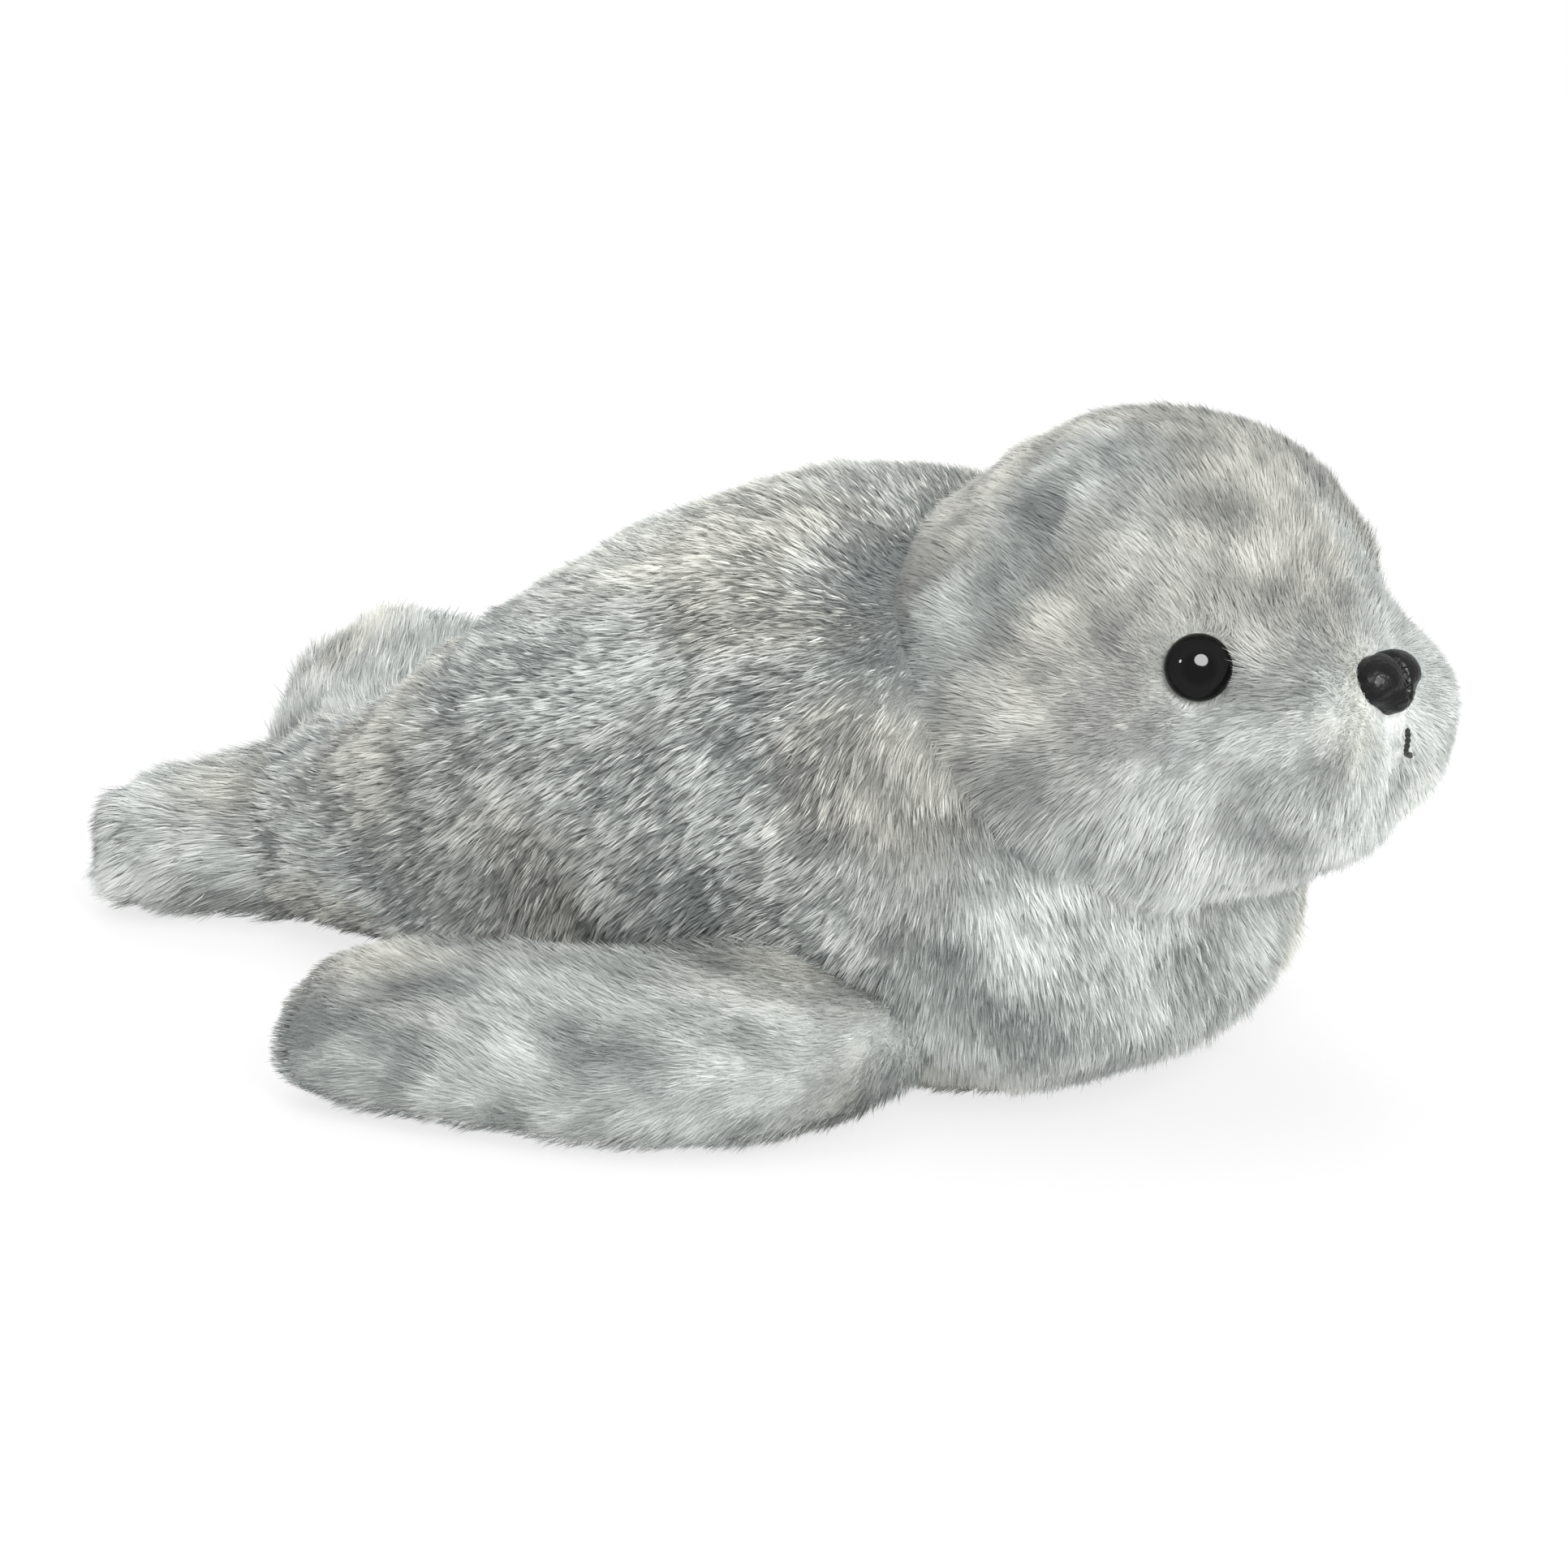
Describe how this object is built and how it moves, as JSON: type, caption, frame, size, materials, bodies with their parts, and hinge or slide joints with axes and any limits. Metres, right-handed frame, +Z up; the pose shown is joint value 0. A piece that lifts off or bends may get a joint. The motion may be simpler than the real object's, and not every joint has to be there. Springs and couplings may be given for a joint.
{
  "type": "plush seal",
  "caption": "Soft stuffed seal lying on its belly: a tapered body, round head, long side flippers, two tail flippers, moulded eyes and nose.",
  "frame": {"origin": "centre of the bounding box's base, on the floor that the seal lies on", "axes": "+X forward, from the tail to the nose; +Y to the seal's left; +Z up"},
  "size_m": [0.3069, 0.219, 0.1338],
  "materials": {
    "body_cover": "medium-pile fur fabric, mottled grey, combed",
    "body_filling": "loose white polyester fibre",
    "head_cover": "medium-pile fur fabric, mottled grey, combed",
    "head_filling": "loose white polyester fibre",
    "front_flipper_cover_left": "medium-pile fur fabric, mottled grey, combed",
    "front_flipper_filling_left": "loose white polyester fibre",
    "hind_flipper_cover_left": "medium-pile fur fabric, mottled grey, combed",
    "hind_flipper_filling_left": "loose white polyester fibre",
    "eye_left": "polished moulded black",
    "eye_left_washer": "unpainted natural white, moulded",
    "front_flipper_cover_right": "medium-pile fur fabric, mottled grey, combed",
    "front_flipper_filling_right": "loose white polyester fibre",
    "hind_flipper_cover_right": "medium-pile fur fabric, mottled grey, combed",
    "hind_flipper_filling_right": "loose white polyester fibre",
    "eye_right": "polished moulded black",
    "eye_right_washer": "unpainted natural white, moulded",
    "nose": "semi-gloss moulded black with a fine grain",
    "nose_washer": "unpainted natural white, moulded",
    "mouth_stitches": "twisted embroidery thread"
  },
  "bodies": {
    "root": {"body_cover": "body_cover", "body_filling": "body_filling", "head_cover": "head_cover", "head_filling": "head_filling", "front_flipper_cover_left": "front_flipper_cover_left", "front_flipper_filling_left": "front_flipper_filling_left", "hind_flipper_cover_left": "hind_flipper_cover_left", "hind_flipper_filling_left": "hind_flipper_filling_left", "eye_left": "eye_left", "eye_left_washer": "eye_left_washer", "front_flipper_cover_right": "front_flipper_cover_right", "front_flipper_filling_right": "front_flipper_filling_right", "hind_flipper_cover_right": "hind_flipper_cover_right", "hind_flipper_filling_right": "hind_flipper_filling_right", "eye_right": "eye_right", "eye_right_washer": "eye_right_washer", "nose": "nose", "nose_washer": "nose_washer", "mouth_stitches": "mouth_stitches"}
  },
  "joints": []
}
